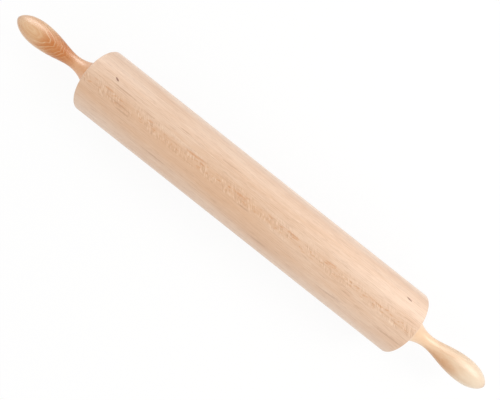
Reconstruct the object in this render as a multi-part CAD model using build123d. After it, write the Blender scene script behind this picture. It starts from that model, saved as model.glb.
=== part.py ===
from build123d import *
import math
import os

# A baker's rolling pin: a maple barrel that turns on two ball bearings round a steel rod,
# with a turned handle fixed on each end of the rod. Millimetres, Z up.
# The axis lies along X. The barrel rests on z = 0 and its middle is above the origin.

# Barrel
barrel_length = 457.2
barrel_diameter = 82.55
barrel_edge_radius = 1.6

# Ball bearing: 3/8 in bore, 7/8 in outside, 9/32 in wide
bearing_bore = 9.525
ball_diameter = 3.969
ball_count = 7
race_wall = 1.1705
race_clearance = 0.02
groove_depth = 0.82
groove_conformity_share = 0.52
ring_chamfer = 0.3
shield_thickness = 0.3
shield_inset = 0.12
shield_seat_depth = 0.8
shield_lip_height = 0.35
shield_gap = 0.2
shield_running_clearance = 0.2165
cage_side_clearance = 0.43
cage_pocket_clearance = 0.12
cage_back_thickness = 0.6
cage_finger_reach = 0.9

# Seat of the bearing in the barrel
bearing_recess = 0.5
seat_relief_depth = 1.0
barrel_bore_clearance = 0.8

# Centre rod
rod_shoulder_height = 1.5875
tang_diameter = 6.35
tang_length = 54.0
rod_chamfer = 0.6

# Washer and jam nut between the bearing and the handle
washer_overlap = 1.9
nut_thickness = 5.56
nut_across_flats = 14.29
nut_corner_chamfer = 0.5

# Threaded insert in the handle
insert_wall = 1.75
insert_length = 14.0
insert_rib_count = 5
insert_rib_height = 0.5
insert_rib_width = 1.2

# Handle
running_gap = 1.0
base_diameter = 38.1
base_band_width = 7.5
base_edge_radius = 1.0
neck_diameter = 16.42
neck_distance = 36.35
swell_diameter = 30.6
swell_distance = 87.4
handle_length = 119.4
nut_recess_clearance = 1.2
tang_hole_spare = 2.0

# Shares that shape the two flowing curves of the handle
neck_pull_share = 0.27
swell_pull_share = 0.43
crown_pull_share = 0.73
tip_pull_share = 0.2

# One overrun serves all cuts, and one tolerance finds edges by their radius and station
cut_overrun = 1.0
match_tolerance = 1e-6

# Sizes worked out from those above
barrel_radius = barrel_diameter / 2
half_length = barrel_length / 2
journal_radius = bearing_bore / 2
rod_radius = journal_radius + rod_shoulder_height
ball_radius = ball_diameter / 2
inner_groove_radius = journal_radius + race_wall
pitch_radius = inner_groove_radius + race_clearance + ball_radius
outer_groove_radius = pitch_radius + ball_radius + race_clearance
bearing_radius = outer_groove_radius + race_wall
inner_land_radius = inner_groove_radius + groove_depth
outer_land_radius = outer_groove_radius - groove_depth
shield_seat_radius = outer_land_radius + shield_seat_depth
shield_depth = shield_inset + shield_thickness + shield_lip_height
bearing_width = 2 * (ball_radius + cage_back_thickness + shield_running_clearance + shield_depth)
groove_tube_radius = ball_diameter * groove_conformity_share
washer_radius = journal_radius + washer_overlap
insert_radius = journal_radius + insert_wall
nut_corner_radius = nut_across_flats / 2 / math.cos(math.pi / 6)
nut_recess_radius = nut_corner_radius + nut_recess_clearance

# Stations on the axis, measured outwards from the barrel's end face
bearing_outside = -bearing_recess
bearing_inside = bearing_outside - bearing_width
bearing_middle = (bearing_outside + bearing_inside) / 2
handle_base = running_gap
nut_outside = handle_base + nut_thickness
insert_outside = nut_outside + insert_length
neck_station = handle_base + neck_distance
swell_station = handle_base + swell_distance
handle_tip = handle_base + handle_length
tang_end = insert_outside + tang_length


def disc(radius, start, end):
    """A cylinder about the axis between two stations."""
    return Pos(0, 0, start) * Cylinder(radius, end - start, align=(Align.CENTER, Align.CENTER, Align.MIN))


def tube(outer, inner, start, end):
    """A disc with a round hole through it."""
    return disc(outer, start, end) - disc(inner, start - cut_overrun, end + cut_overrun)


def end_frame(side):
    """The frame in which Z runs outwards from the barrel's end face, for side -1 or 1."""
    middle = (side * half_length, 0, barrel_radius)
    return Plane(origin=middle, x_dir=(0, 1, 0), z_dir=(side, 0, 0)).location


def groove(middle_radius):
    """The ring that the balls' track takes out of a race."""
    return Pos(0, 0, bearing_middle) * Torus(middle_radius, groove_tube_radius)


def circle_edges(shape, radius, station=None):
    """The round edges of one radius, at one station or at all."""
    found = shape.edges().filter_by(GeomType.CIRCLE)
    found = found.filter_by(lambda edge: abs(edge.radius - radius) < match_tolerance)
    if station is not None:
        found = found.filter_by(lambda edge: abs(edge.arc_center.Z - station) < match_tolerance)
    return found


def make_outer_ring():
    """The outer race, pressed into the barrel, with a seat on each side for a shield."""
    ring = tube(bearing_radius, outer_land_radius, bearing_inside, bearing_outside)
    ring -= groove(outer_groove_radius - groove_tube_radius)
    seat = shield_inset + shield_thickness
    ring -= disc(shield_seat_radius, bearing_outside - seat, bearing_outside + cut_overrun)
    ring -= disc(shield_seat_radius, bearing_inside - cut_overrun, bearing_inside + seat)
    return chamfer(circle_edges(ring, bearing_radius), ring_chamfer)


def make_inner_ring():
    """The inner race, clamped on the rod between its shoulder and the washer."""
    ring = tube(inner_land_radius, journal_radius, bearing_inside, bearing_outside)
    ring -= groove(inner_groove_radius + groove_tube_radius)
    return chamfer(circle_edges(ring, journal_radius), ring_chamfer)


def ball_places():
    """Where the balls sit round the pitch circle."""
    middle = Pos(0, 0, bearing_middle)
    return [middle * place for place in PolarLocations(pitch_radius, ball_count)]


def make_balls():
    """The ball set, one solid for each ball."""
    return Compound(children=[place * Sphere(ball_radius) for place in ball_places()])


def make_cage():
    """A crown cage: a ring behind the balls with open pockets that hold them apart."""
    back = bearing_middle - ball_radius - cage_back_thickness
    front = bearing_middle + cage_finger_reach
    outer = outer_land_radius - cage_side_clearance
    inner = inner_land_radius + cage_side_clearance
    cage = tube(outer, inner, back, front)
    for place in ball_places():
        cage -= place * Sphere(ball_radius + cage_pocket_clearance)
    return cage


def make_shield(direction):
    """A pressed shield seated in the outer race, with a lip turned in beside the inner race."""
    face = bearing_outside if direction > 0 else bearing_inside
    outside = face - direction * shield_inset
    inside = outside - direction * shield_thickness
    lip = inside - direction * shield_lip_height
    hole = inner_land_radius + shield_gap
    plate = tube(shield_seat_radius, hole, min(outside, inside), max(outside, inside))
    turned_lip = tube(hole + shield_thickness, hole, min(inside, lip), max(inside, lip))
    return plate + turned_lip


def make_washer():
    """The spacer that carries the nut's push to the inner race across the running gap."""
    return tube(washer_radius, journal_radius, bearing_outside, handle_base)


def make_nut():
    """The jam nut in the handle's recess, with its corners turned off on both faces."""
    height = nut_outside - handle_base
    profile = RegularPolygon(nut_across_flats / 2, 6, major_radius=False)
    blank = Pos(0, 0, handle_base) * extrude(profile, height)
    turned = disc(nut_corner_radius, handle_base, nut_outside)
    turned = chamfer(circle_edges(turned, nut_corner_radius), nut_corner_chamfer)
    hole = disc(journal_radius, handle_base - cut_overrun, nut_outside + cut_overrun)
    return (blank & turned) - hole


def insert_body():
    """The insert's outside: a plain core and the ribs that grip the wood."""
    body = disc(insert_radius, nut_outside, insert_outside)
    pitch = insert_length / insert_rib_count
    for number in range(insert_rib_count):
        start = nut_outside + pitch * number + (pitch - insert_rib_width) / 2
        body += disc(insert_radius + insert_rib_height, start, start + insert_rib_width)
    return body


def make_insert():
    """The threaded insert that holds the handle on the rod."""
    return insert_body() - disc(journal_radius, nut_outside - cut_overrun, insert_outside + cut_overrun)


def handle_outline():
    """Half of the handle's section: X is the radius and Y the station."""
    base_radius = base_diameter / 2
    neck_radius = neck_diameter / 2
    swell_radius = swell_diameter / 2
    band_end = handle_base + base_band_width
    run = neck_station - band_end
    rise = base_radius - neck_radius
    cove_radius = (run**2 + rise**2) / (2 * rise)
    half_turn = math.asin(run / cove_radius) / 2
    cove_middle = (neck_radius + cove_radius * (1 - math.cos(half_turn)),
                   neck_station - cove_radius * math.sin(half_turn))
    climb = swell_station - neck_station
    crown = handle_tip - swell_station
    lines = Polyline((0, handle_base), (base_radius, handle_base), (base_radius, band_end))
    lines += ThreePointArc((base_radius, band_end), cove_middle, (neck_radius, neck_station))
    lines += Bezier((neck_radius, neck_station),
                    (neck_radius, neck_station + climb * neck_pull_share),
                    (swell_radius, swell_station - climb * swell_pull_share),
                    (swell_radius, swell_station))
    lines += Bezier((swell_radius, swell_station),
                    (swell_radius, swell_station + crown * crown_pull_share),
                    (swell_radius * tip_pull_share, handle_tip),
                    (0, handle_tip))
    lines += Line((0, handle_tip), (0, handle_base))
    return make_face(Plane.XZ * lines)


def make_handle():
    """The turned handle with its nut recess, insert hole and blind hole for the tang."""
    handle = revolve(handle_outline(), Axis.Z)
    handle = fillet(circle_edges(handle, base_diameter / 2, handle_base), base_edge_radius)
    handle -= disc(nut_recess_radius, handle_base - cut_overrun, nut_outside)
    handle -= insert_body()
    handle -= disc(tang_diameter / 2, insert_outside - cut_overrun, tang_end + tang_hole_spare)
    return handle


def make_rod():
    """The steel rod: a thick middle, two threaded journals and two slim tangs."""
    shoulder = half_length + bearing_inside
    journal_end = half_length + insert_outside
    tip = half_length + tang_end
    rod = disc(tang_diameter / 2, -tip, tip)
    rod = chamfer(circle_edges(rod, tang_diameter / 2), rod_chamfer)
    rod += disc(journal_radius, -journal_end, journal_end)
    rod += disc(rod_radius, -shoulder, shoulder)
    return Pos(0, 0, barrel_radius) * Rot(0, 90, 0) * rod


def make_barrel():
    """The barrel with its through bore and a bearing seat in each end."""
    blank = disc(barrel_radius, -half_length, half_length)
    blank = fillet(circle_edges(blank, barrel_radius), barrel_edge_radius)
    bore_radius = rod_radius + barrel_bore_clearance
    blank -= disc(bore_radius, -half_length - cut_overrun, half_length + cut_overrun)
    barrel = Pos(0, 0, barrel_radius) * Rot(0, 90, 0) * blank
    seat = disc(bearing_radius, bearing_inside, cut_overrun)
    relief = disc(outer_land_radius, bearing_inside - seat_relief_depth, cut_overrun)
    for side in (-1, 1):
        barrel -= end_frame(side) * (seat + relief)
    return barrel


def save(shape, name):
    """Write one node's file."""
    shape.label = name
    export_step(shape, f"parts/{name}.step")


def main():
    """Build every node and write its file."""
    os.makedirs("parts", exist_ok=True)
    save(make_barrel(), "barrel")
    save(make_rod(), "centre_rod")
    end_pieces = {
        "handle": make_handle(),
        "handle_insert": make_insert(),
        "jam_nut": make_nut(),
        "spacer_washer": make_washer(),
        "bearing_outer_ring": make_outer_ring(),
        "bearing_inner_ring": make_inner_ring(),
        "bearing_balls": make_balls(),
        "bearing_cage": make_cage(),
        "bearing_inner_shield": make_shield(-1),
        "bearing_outer_shield": make_shield(1),
    }
    for side, word in ((-1, "left"), (1, "right")):
        for name, piece in end_pieces.items():
            save(end_frame(side) * piece, f"{word}_{name}")


main()
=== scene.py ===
# %% [markdown]
# # A baker's rolling pin with a revolving barrel
# The real pin is a thick maple barrel that turns on two small ball bearings. A steel rod runs
# through it and carries a slim lacquered handle at each end. The working model already holds the
# true sizes and the moving bodies, so this lesson loads it first and dresses it: the three wooden
# pieces are turned again with finer curves, and the steel, brass and nylon pieces keep their
# shapes and get their finishes.

# %% Load the working model
import math

import bmesh
import bpy
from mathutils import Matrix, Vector


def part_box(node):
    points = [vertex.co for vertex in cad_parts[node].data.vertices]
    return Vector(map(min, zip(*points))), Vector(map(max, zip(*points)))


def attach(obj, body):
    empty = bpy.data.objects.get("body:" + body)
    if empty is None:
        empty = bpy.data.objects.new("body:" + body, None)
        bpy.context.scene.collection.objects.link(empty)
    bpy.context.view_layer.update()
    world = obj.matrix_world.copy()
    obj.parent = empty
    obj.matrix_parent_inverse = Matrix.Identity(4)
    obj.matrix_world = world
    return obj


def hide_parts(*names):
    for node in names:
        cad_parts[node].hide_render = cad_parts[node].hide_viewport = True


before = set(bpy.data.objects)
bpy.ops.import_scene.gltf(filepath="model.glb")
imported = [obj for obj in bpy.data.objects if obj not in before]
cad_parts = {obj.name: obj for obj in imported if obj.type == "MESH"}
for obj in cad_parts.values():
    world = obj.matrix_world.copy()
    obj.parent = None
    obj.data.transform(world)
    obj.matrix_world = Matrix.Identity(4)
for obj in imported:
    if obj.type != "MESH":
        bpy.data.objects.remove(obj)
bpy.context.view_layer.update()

# %% [markdown]
# ## Sizes
# A turner works from a drawing: a centre line, stations along it and a radius at each station.
# The overall sizes are read from the loaded model, so the fine pieces cannot drift away from it.
# The small sizes of the edges, recesses and curves are written once here, in metres.

# %% Sizes of the barrel and its centre line
barrel_low, barrel_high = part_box("barrel")
barrel_radius = (barrel_high[2] - barrel_low[2]) / 2
half_length = barrel_high[0]
axis_height = barrel_radius
barrel_edge = 0.0016
bore_radius = 0.00715
print("barrel radius", round(barrel_radius, 5), "half length", round(half_length, 5))

# %% Sizes of the bearing seat in each end of the barrel
ring_low, ring_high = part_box("right_bearing_outer_ring")
seat_radius = (ring_high[2] - ring_low[2]) / 2
seat_floor = half_length - ring_low[0]
relief_radius = 0.009122
relief_depth = 0.001
print("bearing seat", round(seat_radius, 5), "deep", round(seat_floor, 5))

# %% Sizes of the handles
handle_low, handle_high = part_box("right_handle")
running_gap = handle_low[0] - half_length
handle_length = handle_high[0] - handle_low[0]
base_radius = 0.01905
base_edge = 0.001
base_band = 0.0075
neck_radius = 0.00821
neck_distance = 0.03635
swell_radius = 0.0153
swell_distance = 0.0874
print("handle stands out", round(handle_length, 5), "after a gap of", round(running_gap, 5))

# %% Fullness of the handle's curves, as shares of the run between their ends
neck_pull_share = 0.27
swell_pull_share = 0.43
crown_pull_share = 0.73
tip_pull_share = 0.2

# %% Sizes of the hollows inside the handles
insert_low, insert_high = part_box("right_handle_insert")
nut_recess_radius = 0.00945
nut_recess_depth = insert_low[0] - handle_low[0]
insert_hole_radius = (insert_high[2] - insert_low[2]) / 2
insert_hole_depth = insert_high[0] - handle_low[0]
tang_hole_radius = 0.003175
tang_hole_depth = 0.07556
print("nut recess", round(nut_recess_depth, 5), "insert hole", round(insert_hole_depth, 5))

# %% [markdown]
# ## Camera
# The pin is seen from straight above its middle, close enough that the far rims of the barrel
# curve outwards a little. A long lens would lose that curve, so the camera stands only a little
# over half a metre from the centre line. It is turned about its own line of sight, which lays the
# pin from the upper left of the picture to the lower right.

# %% Camera above the middle of the barrel
camera_distance = 0.51
picture_width = 500
focal_pixels = 433.15
sensor_width = 36.0
lean_angle = math.radians(38.382)
pin_offset_right = 1.1
pin_offset_down = 1.83

camera_data = bpy.data.cameras.new("camera")
camera_data.sensor_width = sensor_width
camera_data.lens = sensor_width * focal_pixels / picture_width
camera_data.shift_x = -pin_offset_right / picture_width
camera_data.shift_y = pin_offset_down / picture_width
camera_data.clip_start = 0.01
camera = bpy.data.objects.new("camera", camera_data)
camera.location = (0, 0, axis_height + camera_distance)
camera.rotation_euler = (0, 0, lean_angle)
bpy.context.collection.objects.link(camera)
bpy.context.scene.camera = camera
print("lens", round(camera_data.lens, 2))

# %% [markdown]
# ## Light
# A pale object on white wants broad, soft light. Most of it comes from a white room all round,
# and three soft boxes shape the wood: one above the picture, one to its right, and a dim wide one
# below it that fills the shade. The background must look white without pouring more light on the
# wood, so the floor and the room are brighter for what the camera and the glossy rays see than for
# the light that they give.

# %% Plain view settings
scene = bpy.context.scene
scene.view_settings.view_transform = "Standard"


# %% A switch for what is seen, on film or in a reflection
def seen_switch(tree):
    """A value of 1 for camera, glossy and transmission rays, and 0 for the light itself."""
    path = tree.nodes.new("ShaderNodeLightPath")
    share = path.outputs["Is Camera Ray"]
    for name in ("Is Glossy Ray", "Is Transmission Ray"):
        most = tree.nodes.new("ShaderNodeMath")
        most.operation = "MAXIMUM"
        tree.links.new(share, most.inputs[0])
        tree.links.new(path.outputs[name], most.inputs[1])
        share = most.outputs[0]
    return share


# %% Room
room_light = 0.93
room_color = (1.0, 0.985, 0.965, 1)
white = (1, 1, 1, 1)

world = bpy.data.worlds.new("room")
world.use_nodes = True
scene.world = world
room = world.node_tree
room.nodes.clear()
room_output = room.nodes.new("ShaderNodeOutputWorld")
room_pick = room.nodes.new("ShaderNodeMixShader")
room.links.new(seen_switch(room), room_pick.inputs["Fac"])
for place, color, strength in ((1, room_color, room_light), (2, white, 1.0)):
    glow = room.nodes.new("ShaderNodeBackground")
    glow.inputs["Color"].default_value = color
    glow.inputs["Strength"].default_value = strength
    room.links.new(glow.outputs[0], room_pick.inputs[place])
room.links.new(room_pick.outputs[0], room_output.inputs["Surface"])
print("room light", room_light)


# %% A rectangular lamp
def soft_box(name, place, aim, width, depth, power, color, lights_matt):
    """An area light at one place, turned to face another. Gloss always shows it."""
    data = bpy.data.lights.new(name, "AREA")
    data.shape = "RECTANGLE"
    data.size = width
    data.size_y = depth
    data.energy = power
    data.color = color
    lamp = bpy.data.objects.new(name, data)
    lamp.location = place
    lamp.rotation_euler = (Vector(aim) - Vector(place)).to_track_quat("-Z", "Y").to_euler()
    lamp.visible_diffuse = lights_matt
    bpy.context.collection.objects.link(lamp)
    print(name, "at", place, "power", power)


# %% Three soft boxes that light the wood
pin_middle = (0, 0, axis_height)
warm_light = (1.0, 0.985, 0.96)
for name, place, width, depth, power in (
        ("upper_soft_box", (-0.62, 0.66, 0.80), 0.4, 0.4, 0.9),
        ("right_soft_box", (0.72, 0.54, 0.80), 0.5, 0.5, 3.95),
        ("low_fill", (0.55, -0.8, 0.8), 0.8, 0.25, 1.6)):
    soft_box(name, place, pin_middle, width, depth, power, warm_light, True)

# %% [markdown]
# Lacquer and sanded wood show a lamp as a soft streak. A lamp wide enough for the long streaks of
# the real pin would flatten the shade on the wood, so each streak has a lamp of its own that only
# gloss sees. The first two face the handles, and the last gives the pale upper edge of the barrel.

# %% Three lamps that only show in gloss
clear_light = (1, 1, 1)
for name, place, faces_x, width, depth, power in (
        ("left_gloss", (-1.05, 0.78, 0.45), -0.29, 1.0, 0.7, 15.0),
        ("right_gloss", (0.85, 0.62, 0.62), 0.3, 0.9, 0.6, 6.3),
        ("middle_gloss", (0.2, 0.8, 0.35), 0.07, 0.9, 0.5, 4.3)):
    soft_box(name, place, (faces_x, 0, axis_height), width, depth, power, clear_light, False)

# %% [markdown]
# ## Floor
# The pin rests on a white table that fills the picture. A glowing plane would hide the shadow that
# grounds the pin, and a matt one alone would look grey. So the floor is matt, and what is seen of
# it is mixed with nine tenths of plain white, which leaves a faint, soft shadow.

# %% Floor
floor_size = 8.0
floor_grey = 0.86
floor_seen = 0.9

floor_mesh = bpy.data.meshes.new("floor")
half_floor = floor_size / 2
corners = [(x * half_floor, y * half_floor, 0) for x, y in ((-1, -1), (1, -1), (1, 1), (-1, 1))]
floor_mesh.from_pydata(corners, [], [(0, 1, 2, 3)])
floor = bpy.data.objects.new("floor", floor_mesh)
bpy.context.collection.objects.link(floor)

# %% White floor
floor_material = bpy.data.materials.new("white_floor")
floor_material.use_nodes = True
floor_tree = floor_material.node_tree
floor_tree.nodes.clear()
floor_output = floor_tree.nodes.new("ShaderNodeOutputMaterial")
floor_matt = floor_tree.nodes.new("ShaderNodeBsdfDiffuse")
floor_matt.inputs["Color"].default_value = (floor_grey, floor_grey, floor_grey, 1)
floor_glow = floor_tree.nodes.new("ShaderNodeEmission")
floor_glow.inputs["Color"].default_value = white
floor_glow.inputs["Strength"].default_value = 1.0
floor_share = floor_tree.nodes.new("ShaderNodeMath")
floor_share.operation = "MULTIPLY"
floor_share.inputs[1].default_value = floor_seen
floor_pick = floor_tree.nodes.new("ShaderNodeMixShader")
floor_tree.links.new(seen_switch(floor_tree), floor_share.inputs[0])
floor_tree.links.new(floor_share.outputs[0], floor_pick.inputs["Fac"])
floor_tree.links.new(floor_matt.outputs[0], floor_pick.inputs[1])
floor_tree.links.new(floor_glow.outputs[0], floor_pick.inputs[2])
floor_tree.links.new(floor_pick.outputs[0], floor_output.inputs["Surface"])
floor_mesh.materials.append(floor_material)
print("floor", floor_size, "m square")


# %% [markdown]
# ## Turning wood
# The barrel and the handles come off a lathe, so each is half a section spun round the centre
# line. A section could be drawn as a curve and given a screw modifier; here the points are made
# in code and spun straight into a mesh, because the same outline then gives the hollows inside
# and every edge can be marked soft or sharp.

# %% Points along arcs and curves
def curve_points(start, pull_start, pull_end, end, count):
    """Points along a cubic curve, leaving out its first point."""
    points = []
    for number in range(1, count + 1):
        t = number / count
        s = 1 - t
        weights = (s**3, 3 * s * s * t, 3 * s * t * t, t**3)
        corners = (start, pull_start, pull_end, end)
        points.append(tuple(sum(w * c[k] for w, c in zip(weights, corners)) for k in (0, 1)))
    return points


def arc_points(centre, radius, first, last, count):
    """Points along an arc between two angles in degrees, both ends included."""
    points = []
    for number in range(count + 1):
        angle = math.radians(first + (last - first) * number / count)
        points.append((centre[0] + radius * math.cos(angle),
                       centre[1] + radius * math.sin(angle)))
    return points


# %% Spin a section round the centre line
on_centre_line = 1e-7
sharp_angle = math.radians(28)


def spin_point(mesh, station, radius, steps):
    """The ring of corners that one point of a section makes, or one corner on the centre line."""
    if radius < on_centre_line:
        return [mesh.verts.new((station, 0, axis_height))]
    ring = []
    for step in range(steps):
        angle = 2 * math.pi * step / steps
        ring.append(mesh.verts.new((station, radius * math.sin(angle),
                                    axis_height + radius * math.cos(angle))))
    return ring


def turn_piece(name, section, side, steps, closed):
    """A mesh spun from (station, radius) points. The side is 1 or -1 along X."""
    mesh = bmesh.new()
    rings = [spin_point(mesh, side * station, radius, steps) for station, radius in section]
    pairs = list(zip(rings, rings[1:]))
    if closed:
        pairs.append((rings[-1], rings[0]))
    for near, far in pairs:
        for step in range(steps):
            after = (step + 1) % steps
            corners = [near[step % len(near)], near[after % len(near)],
                       far[after % len(far)], far[step % len(far)]]
            mesh.faces.new(list(dict.fromkeys(corners)))
    bmesh.ops.recalc_face_normals(mesh, faces=mesh.faces)
    for face in mesh.faces:
        face.smooth = True
    for edge in mesh.edges:
        edge.smooth = edge.calc_face_angle(0) < sharp_angle
    data = bpy.data.meshes.new(name)
    mesh.to_mesh(data)
    mesh.free()
    piece = bpy.data.objects.new(name, data)
    bpy.context.collection.objects.link(piece)
    print(name, "faces", len(data.polygons))
    return piece


# %% [markdown]
# ## The barrel
# One straight cylinder, 457 mm long, with its end edges rounded by sandpaper. A bore takes the
# rod and a stepped seat in each end takes a bearing. Extra rings along the length keep the faces
# from getting too long and thin.

# %% Barrel
barrel_steps = 192
barrel_rings = 40
barrel_edge_steps = 8


def barrel_section():
    """The barrel's half section, once round: outside, right end, bore, left end."""
    edge_centre = (half_length - barrel_edge, barrel_radius - barrel_edge)
    seat = half_length - seat_floor
    relief = seat - relief_depth
    right = arc_points(edge_centre, barrel_edge, 90, 0, barrel_edge_steps)
    right += [(half_length, seat_radius), (seat, seat_radius), (seat, relief_radius)]
    right += [(relief, relief_radius), (relief, bore_radius)]
    left = [(-station, radius) for station, radius in reversed(right)]
    outside = []
    span = 2 * edge_centre[0]
    for number in range(1, barrel_rings):
        outside.append((-edge_centre[0] + span * number / barrel_rings, barrel_radius))
    return outside + right + left


barrel = turn_piece("turned_barrel", barrel_section(), 1, barrel_steps, True)
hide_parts("barrel")
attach(barrel, "barrel")

# %% [markdown]
# ## The handles
# Each handle starts as a short band against the barrel, draws in through a cove to a slim neck,
# swells to fit the palm and closes in a blunt tip. The cove is one arc, and the swell is two
# smooth curves that meet at its widest place, the way a turner reads it with calipers.

# %% Hollow of a handle
handle_steps = 128
base_edge_steps = 6
cove_steps = 32
curve_steps = 40
handle_start = half_length + running_gap


def hollow_section():
    """From the floor of the tang's hole back to the open end, through the insert's hole."""
    tang_end = handle_start + tang_hole_depth
    insert_end = handle_start + insert_hole_depth
    recess_end = handle_start + nut_recess_depth
    return [(tang_end, 0), (tang_end, tang_hole_radius),
            (insert_end, tang_hole_radius), (insert_end, insert_hole_radius),
            (recess_end, insert_hole_radius), (recess_end, nut_recess_radius),
            (handle_start, nut_recess_radius)]


# %% Outside of a handle
def grip_section():
    """From the band against the barrel, over the cove and the swell, to the tip."""
    band_end = handle_start + base_band
    neck = handle_start + neck_distance
    swell = handle_start + swell_distance
    tip = handle_start + handle_length
    run = neck - band_end
    rise = base_radius - neck_radius
    cove = (run**2 + rise**2) / (2 * rise)
    sweep = math.degrees(math.asin(run / cove))
    section = arc_points((handle_start + base_edge, base_radius - base_edge), base_edge,
                         180, 90, base_edge_steps)
    section += arc_points((neck, neck_radius + cove), cove, 270 - sweep, 270, cove_steps)
    climb = swell - neck
    section += curve_points((neck, neck_radius),
                            (neck + climb * neck_pull_share, neck_radius),
                            (swell - climb * swell_pull_share, swell_radius),
                            (swell, swell_radius), curve_steps)
    crown = tip - swell
    section += curve_points((swell, swell_radius),
                            (swell + crown * crown_pull_share, swell_radius),
                            (tip, swell_radius * tip_pull_share), (tip, 0), curve_steps)
    return section


# %% Handles
handles = {}
for side, word in ((-1, "left"), (1, "right")):
    handle = turn_piece(word + "_turned_handle", hollow_section() + grip_section(), side,
                        handle_steps, False)
    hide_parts(word + "_handle")
    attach(handle, "grip")
    handles[word] = handle


# %% [markdown]
# ## Wood grain
# A wood texture could be a picture wrapped round the piece, but a picture stretches on the swell
# and stops at the end grain. Here each effect is worked out from the place in the log, so it runs
# through the piece as real grain does. The effects are node groups that each wood uses with its
# own values. One small class keeps the making of nodes short.

# %% A helper that lays out nodes
class Tree:
    """Short ways to add nodes to one tree and join them."""

    # The mix node has sockets for numbers, vectors and colours. These are the colour ones.
    mix_inputs = (0, 6, 7)
    mix_result = 2

    def __init__(self, tree):
        self.tree = tree

    def put(self, target, value):
        """Join a socket to an input, or set the input's own value."""
        if isinstance(value, bpy.types.NodeSocket):
            self.tree.links.new(value, target)
        else:
            target.default_value = value

    def node(self, kind, settings=None, **inputs):
        """Add a node, with settings for its properties and named inputs."""
        node = self.tree.nodes.new(kind)
        for key, value in (settings or {}).items():
            setattr(node, key, value)
        for key, value in inputs.items():
            self.put(node.inputs[key.replace("_", " ")], value)
        return node

    def group(self, group, **inputs):
        """Place a node group, and return its outputs by name."""
        return self.node("ShaderNodeGroup", {"node_tree": group}, **inputs).outputs

    def math(self, operation, first, second=0.0, third=0.0):
        node = self.node("ShaderNodeMath", {"operation": operation})
        for target, value in zip(node.inputs, (first, second, third)):
            self.put(target, value)
        return node.outputs[0]

    def add(self, first, second):
        return self.math("ADD", first, second)

    def less(self, first, second):
        return self.math("SUBTRACT", first, second)

    def times(self, first, second, more=None):
        """One value times another, and more added to that if it is given."""
        if more is None:
            return self.math("MULTIPLY", first, second)
        return self.math("MULTIPLY_ADD", first, second, more)

    def over(self, first, second):
        return self.math("DIVIDE", first, second)

    def size_of(self, value):
        return self.math("ABSOLUTE", value)

    def length(self, first, second):
        """The long side of a right-angled triangle."""
        return self.math("SQRT", self.times(first, first, self.times(second, second)))

    def vector_math(self, operation, first, second):
        node = self.node("ShaderNodeVectorMath", {"operation": operation})
        self.put(node.inputs[0], first)
        self.put(node.inputs[1], second)
        return node.outputs

    def join(self, x, y, z):
        return self.node("ShaderNodeCombineXYZ", X=x, Y=y, Z=z).outputs[0]

    def split(self, vector):
        return self.node("ShaderNodeSeparateXYZ", Vector=vector).outputs

    def noise(self, vector, detail=2.0, rough=0.5):
        """Cloudy noise with features about one unit across."""
        return self.node("ShaderNodeTexNoise", Vector=vector, Scale=1.0, Detail=detail,
                         Roughness=rough).outputs["Fac"]

    def ease(self, value, low, high, to_low=0.0, to_high=1.0):
        """Map a range smoothly onto another."""
        node = self.node("ShaderNodeMapRange", {"interpolation_type": "SMOOTHSTEP"})
        names = ("Value", "From Min", "From Max", "To Min", "To Max")
        for key, number in zip(names, (value, low, high, to_low, to_high)):
            self.put(node.inputs[key], number)
        return node.outputs["Result"]

    def mix(self, share, first, second):
        """Blend two colours by a share from 0 to 1."""
        node = self.node("ShaderNodeMix", {"data_type": "RGBA"})
        for place, value in zip(self.mix_inputs, (share, first, second)):
            self.put(node.inputs[place], value)
        return node.outputs[self.mix_result]

    def tint(self, color, mask, share, stain):
        """Lay a stain over a colour where a mask is, at most by a share."""
        return self.mix(self.times(mask, share), color, stain)

    def bump(self, strength, distance, height):
        """A normal that rises and falls with a height."""
        return self.node("ShaderNodeBump", Strength=strength, Distance=distance,
                         Height=height).outputs[0]


# %% A helper that starts a node group
def new_group(name, inputs, outputs):
    """An empty node group with named sockets, the Tree to fill it, and its two ends."""
    group = bpy.data.node_groups.new(name, "ShaderNodeTree")
    for label, kind, default in inputs:
        socket = group.interface.new_socket(label, in_out="INPUT",
                                            socket_type="NodeSocket" + kind)
        if default is not None:
            socket.default_value = default
    for label, kind in outputs:
        group.interface.new_socket(label, in_out="OUTPUT", socket_type="NodeSocket" + kind)
    source = group.nodes.new("NodeGroupInput").outputs
    sink = group.nodes.new("NodeGroupOutput").inputs
    print(name, "takes", len(inputs), "gives", len(outputs))
    return group, Tree(group), source, sink


# %% [markdown]
# ## Growth rings
# A tree grows a layer each year round its heart, the pith. The layers are worked out from the
# distance to a line that stands for the pith, outside the piece. That one idea gives straight
# lines where the layers meet the surface on edge, nested arches where they lie flat, and curved
# bands on the end grain. Waviness and Ripple bend the layers, and Slope tilts them to the piece.
# Squash, Crease and Bow flatten them, fold them along the pith and arch them along the grain,
# which turns plain ovals into the pointed arches of a flat-sawn board. Uneven makes some years
# wider than others, and Sharpness thins the dark lines.
#
# The group gives four things. Line is the thin dark edge of each year's growth, Early is the pale
# line that starts the next, Flat says how squarely the rays face the surface, and the fibre vector
# is a place measured along the grain, outwards from the pith and round it.

# %% Layers that wave, fold and arch
wander_along, wander_across = 6.0, 20.0
ripple_along, ripple_across = 45.0, 110.0
crease_rounding = 5e-7
uneven_pace = 0.37


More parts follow.
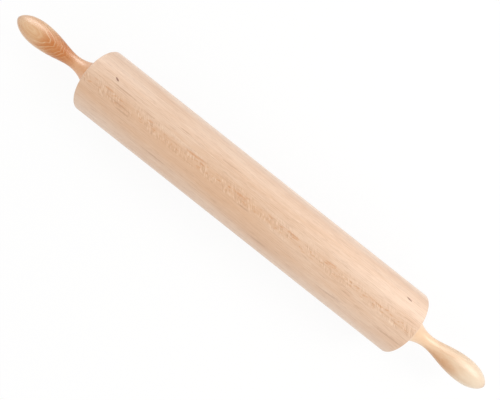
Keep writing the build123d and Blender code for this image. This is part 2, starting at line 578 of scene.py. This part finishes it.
def bent_layers(tree, source, x, y, z, across, radius):
    """How many years out from the pith a place lies, with the layers bent."""
    seed = source["Seed"]
    wander = tree.noise(tree.join(tree.times(x, wander_along, seed), tree.times(y, wander_across),
                                  tree.times(z, wander_across)))
    ripple = tree.noise(tree.join(tree.times(x, ripple_along, seed), tree.times(y, ripple_across),
                                  tree.times(z, ripple_across)), 1.0)
    ripple = tree.times(tree.less(ripple, 0.5), source["Ripple"])
    bend = tree.add(ripple, tree.less(wander, 0.5))
    level = tree.times(bend, source["Waviness"], tree.times(x, source["Slope"], radius))
    beside = tree.math("SQRT", tree.times(across, across, crease_rounding))
    level = tree.times(beside, source["Crease"], level)
    from_bow = tree.less(x, source["Bow Centre"])
    level = tree.times(tree.times(from_bow, from_bow), source["Bow"], level)
    years = tree.over(level, source["Ring Width"])
    uneven = tree.node("ShaderNodeTexNoise", {"noise_dimensions": "1D"}, Scale=1.0, Detail=1.0,
                       W=tree.times(years, uneven_pace)).outputs["Fac"]
    return tree.times(uneven, source["Uneven"], years)


# %% Growth rings
# Parts of a year's growth, from 0 to 1, over which each line rises or falls.
late_falls = (0.86, 1.0)
early_rises, early_falls = (0.0, 0.06), (0.12, 0.3)

# Each year's lines have a strength of their own, from the least up to the least and the spread.
late_spread, late_least = 0.9, 0.35
early_spread, early_least = 0.7, 0.3


def make_growth_rings():
    """Layers round a pith line that runs along X."""
    group, tree, source, sink = new_group(
        "growth_rings",
        [("Vector", "Vector", None), ("Pith Y", "Float", -0.18), ("Pith Z", "Float", 0.04),
         ("Slope", "Float", 0.0), ("Ring Width", "Float", 0.0026), ("Waviness", "Float", 0.0012),
         ("Ripple", "Float", 0.3), ("Sharpness", "Float", 4.0), ("Squash", "Float", 1.0),
         ("Crease", "Float", 0.0), ("Bow", "Float", 0.0), ("Bow Centre", "Float", 0.0),
         ("Uneven", "Float", 2.4), ("Seed", "Float", 0.0)],
        [("Line", "Float"), ("Early", "Float"), ("Flat", "Float"), ("Fibre Vector", "Vector")])
    x, y, z = tree.split(source["Vector"])
    across = tree.less(y, source["Pith Y"])
    up = tree.times(tree.less(z, source["Pith Z"]), source["Squash"])
    radius = tree.length(across, up)
    years = bent_layers(tree, source, x, y, z, across, radius)

    part = tree.math("FRACT", years)
    chance = tree.node("ShaderNodeTexWhiteNoise", {"noise_dimensions": "1D"},
                       W=tree.math("FLOOR", years)).outputs["Value"]
    fall = tree.ease(part, *late_falls, 1.0, 0.0)
    late = tree.times(tree.math("POWER", part, source["Sharpness"]), fall)
    tree.put(sink["Line"], tree.times(late, tree.times(chance, late_spread, late_least)))
    early = tree.times(tree.ease(part, *early_rises), tree.ease(part, *early_falls, 1.0, 0.0))
    tree.put(sink["Early"], tree.times(early, tree.times(chance, early_spread, early_least)))

    facing = tree.node("ShaderNodeTexCoord").outputs["Normal"]
    round_pith = tree.join(0.0, tree.times(tree.over(up, radius), -1.0),
                           tree.over(across, radius))
    squarely = tree.vector_math("DOT_PRODUCT", facing, round_pith)["Value"]
    tree.put(sink["Flat"], tree.size_of(squarely))
    round_way = tree.times(tree.math("ARCTAN2", up, across), radius)
    tree.put(sink["Fibre Vector"], tree.join(x, radius, round_way))
    return group


growth_rings = make_growth_rings()


# %% [markdown]
# ## Fibres
# Between the growth lines, maple is full of fine streaks and short dark pores, all along the
# grain. A stretched noise gives both: its middle values are the streaks, and its highest peaks are
# the pores. Cover says how much of the wood the pores take up.

# %% Long streaks and pores
pores_begin = 0.8
pore_softness = 0.1


def make_wood_fibre():
    """Long thin streaks along the grain, and short dark pores among them."""
    group, tree, source, sink = new_group(
        "wood_fibre",
        [("Fibre Vector", "Vector", None), ("Length", "Float", 0.03),
         ("Thickness", "Float", 0.0005), ("Cover", "Float", 0.1), ("Seed", "Float", 0.0)],
        [("Streak", "Float"), ("Pore", "Float")])
    x, y, z = tree.split(source["Fibre Vector"])
    place = tree.join(tree.add(tree.over(x, source["Length"]), source["Seed"]),
                      tree.add(tree.over(y, source["Thickness"]), source["Seed"]),
                      tree.over(z, source["Thickness"]))
    streak = tree.noise(place, 3.0, 0.6)
    start = tree.less(pores_begin, source["Cover"])
    tree.put(sink["Streak"], streak)
    tree.put(sink["Pore"], tree.ease(streak, start, tree.add(start, pore_softness)))
    return group


wood_fibre = make_wood_fibre()


# %% [markdown]
# ## Ray flecks
# Rays are thin ribbons that run out from the pith. Where one lies flat in the surface it shows as
# a fleck that catches the light or darkens, and a quartered face is full of them. They need to
# appear only there, so the mask from the growth rings, Flat, opens and closes them.

# %% Ray flecks
patch_outwards, patch_round = 120.0, 90.0
rays_lie_flat = (0.970, 0.998)
inside_patch = (0.36, 0.6)
light_peaks, dark_dips = (0.55, 0.7), (0.45, 0.3)


def make_ray_fleck():
    """Light and dark flecks, leaning a little across the grain, in loose patches."""
    group, tree, source, sink = new_group(
        "ray_fleck",
        [("Fibre Vector", "Vector", None), ("Flat", "Float", 1.0), ("Height", "Float", 0.0010),
         ("Breadth", "Float", 0.006), ("Thickness", "Float", 0.0008), ("Lean", "Float", 0.7),
         ("Patch", "Float", 0.014)],
        [("Light", "Float"), ("Dark", "Float")])
    x, y, z = tree.split(source["Fibre Vector"])
    leaned = tree.times(y, source["Lean"], x)
    place = tree.join(tree.over(leaned, source["Height"]), tree.over(y, source["Breadth"]),
                      tree.over(z, source["Thickness"]))
    raw = tree.noise(place, 0.5)
    patch = tree.noise(tree.join(tree.over(leaned, source["Patch"]),
                                 tree.times(y, patch_outwards), tree.times(z, patch_round)), 1.0)
    shown = tree.times(tree.ease(source["Flat"], *rays_lie_flat),
                       tree.ease(patch, *inside_patch))
    tree.put(sink["Light"], tree.times(shown, tree.ease(raw, *light_peaks)))
    tree.put(sink["Dark"], tree.times(shown, tree.ease(raw, *dark_dips)))
    return group


ray_fleck = make_ray_fleck()


# %% [markdown]
# ## End grain
# Where the surface cuts the fibres across, it soaks up more oil and looks darker and duller. How
# far the surface faces along the grain tells where that is, so no face has to be painted by hand.

# %% End grain
def make_end_grain():
    """A mask that grows from Start to Full as the surface turns to face along X."""
    group, tree, source, sink = new_group(
        "end_grain", [("Start", "Float", 0.5), ("Full", "Float", 1.0)], [("End", "Float")])
    x = tree.split(tree.node("ShaderNodeTexCoord").outputs["Normal"])[0]
    tree.put(sink["End"], tree.ease(tree.size_of(x), source["Start"], source["Full"]))
    return group


end_grain = make_end_grain()


# %% [markdown]
# ## Marks
# A few marks belong to one piece of wood alone, such as a mineral spot or a darker streak. Noise
# can't put one at a chosen place, so this group draws a single spindle there and frays its ends.

# %% Marks at chosen places
mark_depth_share = 4.0
fray_along, fray_across = 260.0, 1100.0
fray_strength = 1.6
mark_fades = (0.0, 1.1)


def make_grain_mark():
    """One spindle with frayed ends at a chosen place, longest along the grain."""
    group, tree, source, sink = new_group(
        "grain_mark",
        [("Vector", "Vector", None), ("Centre", "Vector", None), ("Length", "Float", 0.003),
         ("Width", "Float", 0.0009), ("Turn", "Float", 0.0)],
        [("Mask", "Float")])
    away = tree.vector_math("SUBTRACT", source["Vector"], source["Centre"])[0]
    turned = tree.node("ShaderNodeVectorRotate", {"rotation_type": "Z_AXIS"}, Vector=away,
                       Angle=source["Turn"]).outputs[0]
    x, y, z = tree.split(turned)
    x = tree.over(x, source["Length"])
    y = tree.over(y, source["Width"])
    z = tree.over(z, tree.times(source["Width"], mark_depth_share))
    real_x, real_y, real_z = tree.split(source["Vector"])
    frayed = tree.noise(tree.join(tree.times(real_x, fray_along), tree.times(real_y, fray_across),
                                  tree.times(real_z, fray_across)), 1.0)
    spread = tree.times(tree.less(frayed, 0.5), fray_strength)
    for value in (x, y, z):
        spread = tree.times(value, value, spread)
    tree.put(sink["Mask"], tree.ease(spread, *mark_fades, 1.0, 0.0))
    return group


grain_mark = make_grain_mark()


# %% [markdown]
# ## Barrel maple
# The barrel is sanded maple that is oiled but not lacquered. It is pale, a little pink, with fine
# lines nearly along it. Near its middle, as seen from above, the rays lie flat in the surface and
# show as a feathery band with orange flecks, and beside that band a strip of the left half is
# more honey coloured. Short dark streaks are scattered along the grain, and two mineral marks sit
# near the ends. A little sheen stands for the soft nap of sanded wood.

# %% Tones of the barrel
pale_maple = (0.67, 0.476, 0.343, 1)
warm_maple = (0.607, 0.38, 0.235, 1)
honey_maple = (0.60, 0.35, 0.195, 1)
cream_maple = (0.80, 0.61, 0.45, 1)
brown_grain = (0.33, 0.165, 0.085, 1)
orange_fleck = (0.50, 0.21, 0.07, 1)
mineral_black = (0.17, 0.045, 0.006, 1)

# %% Marks on the barrel
# Each row gives the place along and across, the length and the width in millimetres, and the turn
# in degrees.
mineral_marks = ((-196.7, 14.1, 3.4, 1.4, 25), (202.9, 24.2, 4.2, 1.1, 3))
brown_streaks = (
    (210.6, -22.5, 24, 1.3, -2), (-182.8, 9, 26, 1.0, 1), (133.1, -26.8, 17, 1.3, -4),
    (-117.2, -27.6, 19, 1.0, 0), (-176.8, -6.2, 20, 1.0, 2), (-41.7, 17.6, 20, 1.0, -2),
    (31.8, -30.3, 20, 0.9, -1), (-170.9, -10.9, 11, 1.2, 0), (-2, -10.2, 9, 1.0, 0),
    (212.6, 5.7, 12, 0.8, -2), (-102.3, 15.9, 9, 0.9, 1), (142.1, -13.9, 8, 0.9, 0))
orange_streaks = (
    (-78.5, 1.6, 17, 1.5, -2), (-13.9, -1.6, 11, 1.3, 1), (59.6, 0, 12, 1.2, 1),
    (110.3, 1.2, 11, 1.0, -3), (-195.7, 0.5, 8, 1.2, 0))
marks_and_tints = ((mineral_black, 1.0, mineral_marks), (brown_grain, 0.4, brown_streaks),
                   (orange_fleck, 0.55, orange_streaks))
millimetre = 0.001


def on_barrel(x, y):
    """The place on top of the barrel at one x and y."""
    return (x, y, axis_height + math.sqrt(barrel_radius**2 - y**2))


def add_marks(tree, place, color):
    """Lay every mark of the barrel over a colour."""
    for stain, strength, marks in marks_and_tints:
        for along, across, length, width, turn in marks:
            centre = on_barrel(along * millimetre, across * millimetre)
            mark = tree.group(grain_mark, Vector=place, Centre=centre,
                              Length=length * millimetre, Width=width * millimetre,
                              Turn=math.radians(turn))["Mask"]
            color = tree.tint(color, mark, strength, stain)
    return color


# %% A new material
def new_material(name):
    """An empty material: its Tree, its principled shader and the place on the piece."""
    material = bpy.data.materials.new(name)
    material.use_nodes = True
    tree = Tree(material.node_tree)
    shader = material.node_tree.nodes["Principled BSDF"]
    place = tree.node("ShaderNodeTexCoord").outputs["Object"]
    return material, tree, shader, place


# %% Honey coloured strip of the barrel
# Each border fades in between two places on the barrel, in metres.
honey_upper_border, honey_lower_border = (0.004, -0.004), (-0.034, -0.018)
honey_right_border, honey_left_border = (0.10, -0.02), (-0.20, -0.12)


def honey_strip(tree, place):
    """A mask for the strip beside the ray band, strongest left of the middle."""
    x, y = tree.split(place)[:2]
    over_width = tree.times(tree.ease(y, *honey_upper_border), tree.ease(y, *honey_lower_border))
    over_length = tree.times(tree.ease(x, *honey_right_border),
                             tree.ease(x, *honey_left_border, 0.5, 1.0))
    return tree.times(over_width, over_length)


# %% Barrel maple
def make_barrel_maple():
    """Oiled maple: the ground colours, then the rings, pores, rays and marks over them."""
    material, tree, shader, place = new_material("barrel_maple")
    rings = tree.group(growth_rings, Vector=place, Pith_Y=-0.178, Pith_Z=0.069, Slope=0.014,
                       Ring_Width=0.0026, Waviness=0.003, Sharpness=2.0, Seed=3.0)
    grain = rings["Fibre Vector"]
    clouds = tree.group(wood_fibre, Fibre_Vector=grain, Length=0.11, Thickness=0.016,
                        Seed=7.0)["Streak"]
    fine = tree.group(wood_fibre, Fibre_Vector=grain, Length=0.012, Thickness=0.0008,
                      Seed=1.0)["Streak"]
    dashes = tree.group(wood_fibre, Fibre_Vector=grain, Length=0.022, Thickness=0.0017,
                        Cover=0.195, Seed=13.0)["Pore"]
    glow = tree.group(wood_fibre, Fibre_Vector=grain, Length=0.008, Thickness=0.0022,
                      Cover=0.24, Seed=31.0)["Pore"]
    rays = tree.group(ray_fleck, Fibre_Vector=grain, Flat=rings["Flat"])
    band = tree.ease(rings["Flat"], 0.988, 1.0)
    ends = tree.group(end_grain, Start=0.5)["End"]

    color = tree.mix(tree.ease(clouds, 0.25, 0.75), pale_maple, warm_maple)
    color = tree.tint(color, tree.ease(fine, 0.5, 0.76), 0.4, brown_grain)
    color = tree.tint(color, tree.ease(fine, 0.45, 0.25), 0.4, cream_maple)
    color = tree.tint(color, band, 0.3, warm_maple)
    color = tree.tint(color, honey_strip(tree, place), 0.45, honey_maple)
    color = tree.tint(color, rings["Line"], tree.times(ends, 0.5, 0.24), brown_grain)
    color = tree.tint(color, dashes, 0.28, brown_grain)
    color = tree.tint(color, rays["Dark"], 0.36, brown_grain)
    color = tree.tint(color, rays["Light"], 0.44, cream_maple)
    color = tree.tint(color, tree.times(glow, band), 0.6, orange_fleck)
    color = add_marks(tree, place, color)
    color = tree.tint(color, ends, 0.26, brown_grain)
    tree.put(shader.inputs["Base Color"], color)

    rough = tree.times(fine, 0.16, 0.42)
    tree.put(shader.inputs["Roughness"], tree.times(ends, 0.12, rough))
    relief = tree.less(fine, tree.times(dashes, 0.6))
    tree.put(shader.inputs["Normal"], tree.bump(0.2, 0.0002, relief))
    shader.inputs["Specular IOR Level"].default_value = 0.5
    shader.inputs["Sheen Weight"].default_value = 0.45
    shader.inputs["Sheen Roughness"].default_value = 0.6
    print("barrel_maple nodes", len(material.node_tree.nodes))
    return material


barrel.data.materials.append(make_barrel_maple())


# %% [markdown]
# ## Lacquered maple
# The handles are maple under a clear hard lacquer, which is the shader's own coat. On the left one
# the growth layers lie nearly flat under the viewer, so the turned shape cuts them into nested
# pointed arches, strongly orange. The right one is paler and its lines run along it. Each has a
# darker patch in its heart, a tint of its own at the neck, and a paler tip whose darker edge is
# partly end grain and partly painted shade along the tip's outline. One function makes both from
# two lists of values, so they stay the same kind of wood.

# %% Where each effect begins and ends along a handle
# These are distances from the middle of the pin, in metres.
neck_tint_fades = (0.255, 0.295)
tip_pales = (0.285, 0.335)
lines_rise = (0.262, 0.284)
lines_fall = (0.300, 0.316)
# The tip's darker edge is partly end grain and partly painted shade along its outline.
tip_outline_darkens = (0.30, 0.32)


# %% Dark patch in a handle's heart
patch_fray = 2.4
patch_fades = (-0.1, 1.5)


def heart_patch(tree, x, y, clouds, heart):
    """A mask for an oval patch with frayed borders, from its centre and its reach."""
    centre_x, centre_y, reach_x, reach_y = heart
    along = tree.over(tree.less(x, centre_x), reach_x)
    across = tree.over(tree.less(y, centre_y), reach_y)
    far = tree.times(along, along, tree.times(across, across))
    frayed = tree.times(tree.less(clouds, 0.5), patch_fray, far)
    return tree.ease(frayed, *patch_fades, 1.0, 0.0)


# %% Lacquered maple
def make_handle_maple(name, tones, rings_as, heart, heart_share, tip_share, contrast):
    """Handle wood from its tones, the place of its rings, its dark patch and its strengths."""
    material, tree, shader, place = new_material(name)
    rings = tree.group(growth_rings, Vector=place, **rings_as)
    grain = rings["Fibre Vector"]
    seed = rings_as["Seed"]
    clouds = tree.group(wood_fibre, Fibre_Vector=grain, Length=0.03, Thickness=0.006,
                        Seed=seed)["Streak"]
    fine = tree.group(wood_fibre, Fibre_Vector=grain, Length=0.012, Thickness=0.0007,
                      Seed=seed)["Streak"]
    ends = tree.group(end_grain, Start=0.45, Full=0.9)["End"]
    x, y = tree.split(place)[:2]
    out = tree.size_of(x)

    color = tree.mix(tree.ease(clouds, 0.35, 0.65), tones["pale"], tones["warm"])
    color = tree.tint(color, tree.ease(fine, 0.35, 0.75), 0.3, tones["warm"])
    color = tree.mix(tree.ease(out, *neck_tint_fades, 0.8, 0.0), color, tones["neck"])
    color = tree.mix(tree.ease(out, *tip_pales, 0.0, tip_share), color, tones["cream"])
    patch = heart_patch(tree, x, y, clouds, heart)
    share = tree.times(tree.ease(fine, 0.3, 0.7, 1.25, 0.75), heart_share)
    color = tree.tint(color, patch, share, tones["dark"])

    beyond_neck = tree.ease(out, *lines_rise)
    before_tip = tree.ease(out, *lines_fall, 1.0, 0.3)
    strength = tree.times(tree.times(beyond_neck, before_tip), contrast, 0.15 * contrast)
    color = tree.tint(color, rings["Line"], strength, tones["dark"])
    broken = tree.times(rings["Early"], tree.ease(clouds, 0.3, 0.65, 0.1, 0.75))
    color = tree.tint(color, broken, strength, tones["cream"])
    # Darker edge at the tip: partly end grain, partly painted shade along the tip's outline.
    tip_outline_shade_and_end_grain = tree.times(tree.ease(out, *tip_outline_darkens, 0.0, 0.75),
                        tree.ease(clouds, 0.25, 0.6, 0.6, 1.0))
    color = tree.tint(color, ends, tip_outline_shade_and_end_grain, tones["outline_shade_and_end_grain"])
    tree.put(shader.inputs["Base Color"], color)

    tree.put(shader.inputs["Roughness"], tree.times(fine, 0.1, 0.36))
    tree.put(shader.inputs["Normal"], tree.bump(0.1, 0.0002, fine))
    shader.inputs["Specular IOR Level"].default_value = 0.12
    shader.inputs["Coat Weight"].default_value = 1.0
    shader.inputs["Coat Roughness"].default_value = 0.36
    shader.inputs["Coat IOR"].default_value = 1.4
    print(name, "nodes", len(material.node_tree.nodes))
    return material


# %% Left handle
# The tone that darkens the tip is partly end grain and partly painted shade.
left_tones = {
    "cream": (0.745, 0.535, 0.345, 1), "pale": (0.655, 0.41, 0.225, 1),
    "warm": (0.565, 0.295, 0.125, 1), "dark": (0.45, 0.12, 0.008, 1),
    "outline_shade_and_end_grain": (0.34, 0.12, 0.035, 1), "neck": (0.71, 0.37, 0.19, 1)}
left_rings = dict(Pith_Y=-0.0005, Pith_Z=0.503, Slope=0.0, Ring_Width=0.0026, Waviness=0.004,
                  Ripple=1.1, Sharpness=0.8, Squash=0.3, Crease=0.42, Bow=6.8,
                  Bow_Centre=-0.321, Uneven=1.2, Seed=21.0)
left_heart = (-0.284, 0.001, 0.021, 0.018)
handles["left"].data.materials.append(make_handle_maple(
    "left_handle_maple", left_tones, left_rings, left_heart, 0.7, 0.3, 0.65))

# %% Right handle
right_tones = {
    "cream": (0.735, 0.625, 0.485, 1), "pale": (0.67, 0.50, 0.345, 1),
    "warm": (0.62, 0.415, 0.26, 1), "dark": (0.48, 0.20, 0.05, 1),
    "outline_shade_and_end_grain": (0.50, 0.24, 0.09, 1), "neck": (0.78, 0.54, 0.35, 1)}
right_rings = dict(Pith_Y=-0.03, Pith_Z=0.09, Slope=0.03, Ring_Width=0.0024, Waviness=0.003,
                   Sharpness=3.0, Seed=33.0)
right_heart = (0.284, -0.011, 0.024, 0.009)
handles["right"].data.materials.append(make_handle_maple(
    "right_handle_maple", right_tones, right_rings, right_heart, 0.6, 0.6, 0.2))


# %% [markdown]
# ## Steel, brass and nylon
# The pieces inside keep the working model's own shapes, because a bearing ring or a nut is already
# exact there. What they need is a finish. Everything that is turned or ground carries fine rings
# round the centre line, everything that has been handled carries scratches, and everything near a
# bearing carries a thin film of oil or old grease. These three effects are node groups, and each
# metal uses them with its own strengths.

# %% Turning lines
def make_turning_lines():
    """Fine rings round the centre line, on round faces and flat ends alike."""
    group, tree, source, sink = new_group(
        "turning_lines",
        [("Vector", "Vector", None), ("Pitch", "Float", 0.0002), ("Seed", "Float", 0.0)],
        [("Line", "Float")])
    x, y, z = tree.split(source["Vector"])
    radius = tree.length(y, tree.less(z, axis_height))
    place = tree.join(tree.over(x, source["Pitch"]), tree.over(radius, source["Pitch"]),
                      source["Seed"])
    tree.put(sink["Line"], tree.noise(place, 2.0, 0.65))
    return group


turning_lines = make_turning_lines()


# %% Fine scratches
scratch_leans = (0.5, -0.9)
scratch_peaks = (0.62, 0.72)


def make_fine_scratches():
    """Thin crossing scratches, laid in two leaning sets."""
    group, tree, source, sink = new_group(
        "fine_scratches",
        [("Vector", "Vector", None), ("Length", "Float", 0.006),
         ("Thickness", "Float", 0.00012), ("Seed", "Float", 0.0)],
        [("Scratch", "Float")])
    sets = []
    for lean in scratch_leans:
        leaned = tree.node("ShaderNodeVectorRotate", {"rotation_type": "X_AXIS"},
                           Vector=source["Vector"], Angle=lean).outputs[0]
        x, y, z = tree.split(leaned)
        place = tree.join(tree.add(tree.over(x, source["Length"]), source["Seed"]),
                          tree.over(y, source["Thickness"]), tree.over(z, source["Length"]))
        sets.append(tree.ease(tree.noise(place, 1.0), *scratch_peaks))
    tree.put(sink["Scratch"], tree.math("MAXIMUM", sets[0], sets[1]))
    return group


fine_scratches = make_fine_scratches()


# %% Oil film
film_begins = 0.85
film_softness = 0.4
beads_begin, beads_full = 0.2, 0.3


def make_oil_film():
    """Cloudy patches of a thin film, with small beads where it gathers."""
    group, tree, source, sink = new_group(
        "oil_film",
        [("Vector", "Vector", None), ("Size", "Float", 0.004), ("Cover", "Float", 0.5),
         ("Seed", "Float", 0.0)],
        [("Film", "Float"), ("Bead", "Float")])
    scaled = tree.node("ShaderNodeVectorMath", {"operation": "SCALE"})
    tree.put(scaled.inputs[0], source["Vector"])
    tree.put(scaled.inputs["Scale"], tree.over(1.0, source["Size"]))
    moved = tree.vector_math("ADD", scaled.outputs[0],
                             tree.join(source["Seed"], source["Seed"], source["Seed"]))[0]
    cloud = tree.noise(moved, 4.0, 0.6)
    start = tree.less(film_begins, source["Cover"])
    tree.put(sink["Film"], tree.ease(cloud, start, tree.add(start, film_softness)))
    tree.put(sink["Bead"], tree.ease(cloud, tree.add(start, beads_begin),
                                     tree.add(start, beads_full)))
    return group


oil_film = make_oil_film()


# %% [markdown]
# ## Metals
# Plain metal is a colour and a polish, and the rest is what was done to it. The film dulls the
# colour and softens the shine, the turning lines spread it, and the scratches break through both.
# One function makes all six metals from the numbers in a table.

# %% Metals
def make_metal(name, bright, dull, pitch, rough, line_rough, film_cover, scratch_share, seed):
    """A metal from its clean and filmed colours, its turning lines and its polish."""
    material, tree, shader, place = new_material(name)
    lines = tree.group(turning_lines, Vector=place, Pitch=pitch, Seed=seed)["Line"]
    scratch = tree.group(fine_scratches, Vector=place, Seed=seed)["Scratch"]
    film = tree.group(oil_film, Vector=place, Cover=film_cover, Seed=seed)
    scratch = tree.times(scratch, scratch_share)
    color = tree.tint(bright, film["Film"], 0.6, dull)
    color = tree.tint(color, tree.ease(lines, 0.35, 0.65, 1.0, 0.0), 0.18, dull)
    color = tree.mix(scratch, color, bright)
    tree.put(shader.inputs["Base Color"], color)
    shader.inputs["Metallic"].default_value = 1.0
    roughness = tree.times(lines, line_rough, rough)
    roughness = tree.times(film["Film"], 0.1, roughness)
    tree.put(shader.inputs["Roughness"], tree.times(scratch, 0.15, roughness))
    relief = tree.less(tree.times(film["Bead"], 0.5, lines), scratch)
    tree.put(shader.inputs["Normal"], tree.bump(0.12, 0.00003, relief))
    print(name, "nodes", len(material.node_tree.nodes))
    return material


# %% One finish for each metal
finishes = {
    "rod_steel": make_metal("ground_steel", (0.60, 0.595, 0.585, 1), (0.36, 0.34, 0.31, 1),
                            0.00022, 0.2, 0.16, 0.38, 0.5, 1.0),
    "zinc_steel": make_metal("zinc_plated_steel", (0.66, 0.69, 0.72, 1), (0.50, 0.52, 0.50, 1),
                             0.0004, 0.3, 0.12, 0.5, 0.3, 5.0),
    "bearing_steel": make_metal("bearing_ring_steel", (0.62, 0.62, 0.625, 1),
                                (0.40, 0.37, 0.31, 1), 0.00012, 0.12, 0.12, 0.45, 0.25, 9.0),
    "ball_steel": make_metal("polished_ball_steel", (0.70, 0.70, 0.71, 1), (0.50, 0.46, 0.38, 1),
                             0.00025, 0.05, 0.05, 0.35, 0.2, 12.0),
    "shield_steel": make_metal("pressed_sheet_steel", (0.55, 0.555, 0.565, 1),
                               (0.37, 0.36, 0.34, 1), 0.0003, 0.26, 0.18, 0.45, 0.6, 15.0),
    "insert_brass": make_metal("turned_brass", (0.79, 0.58, 0.26, 1), (0.45, 0.28, 0.11, 1),
                               0.0003, 0.24, 0.14, 0.48, 0.4, 19.0),
}


# %% [markdown]
# ## Nylon
# The cages that keep the balls apart are moulded in natural nylon. It is cream and a little
# cloudy, light sinks into it, and grease stains it. The group of turning lines, at a wider pitch
# than on metal, gives the faint flow of the mould, so no new group is needed.

# %% Moulded nylon
clean_nylon = (0.82, 0.78, 0.66, 1)
shaded_nylon = (0.74, 0.69, 0.55, 1)
greased_nylon = (0.55, 0.44, 0.25, 1)


def make_moulded_nylon():
    """Natural nylon: cream, satin, with the faint flow of the mould and some grease."""
    material, tree, shader, place = new_material("moulded_nylon")
    flow = tree.group(turning_lines, Vector=place, Pitch=0.0009, Seed=23.0)["Line"]
    grease = tree.group(oil_film, Vector=place, Size=0.003, Cover=0.42, Seed=27.0)
    color = tree.mix(tree.ease(flow, 0.35, 0.65), clean_nylon, shaded_nylon)
    color = tree.tint(color, grease["Film"], 0.5, greased_nylon)
    tree.put(shader.inputs["Base Color"], color)
    tree.put(shader.inputs["Roughness"], tree.times(grease["Film"], -0.2, 0.5))
    relief = tree.times(grease["Bead"], 0.6, flow)
    tree.put(shader.inputs["Normal"], tree.bump(0.15, 0.00005, relief))
    shader.inputs["Subsurface Weight"].default_value = 0.15
    shader.inputs["Subsurface Scale"].default_value = 0.001
    print("moulded_nylon nodes", len(material.node_tree.nodes))
    return material


finishes["cage_nylon"] = make_moulded_nylon()

# %% [markdown]
# ## Dress and finish
# The working model already says which finish each piece has, by the name of its material slot, so
# one short loop is enough to dress all of them.

# %% Dress the pieces inside
for name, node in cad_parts.items():
    for slot in node.material_slots:
        label = slot.material.name.split(".")[0]
        print(name, label)
        if label in finishes:
            slot.material = finishes[label]
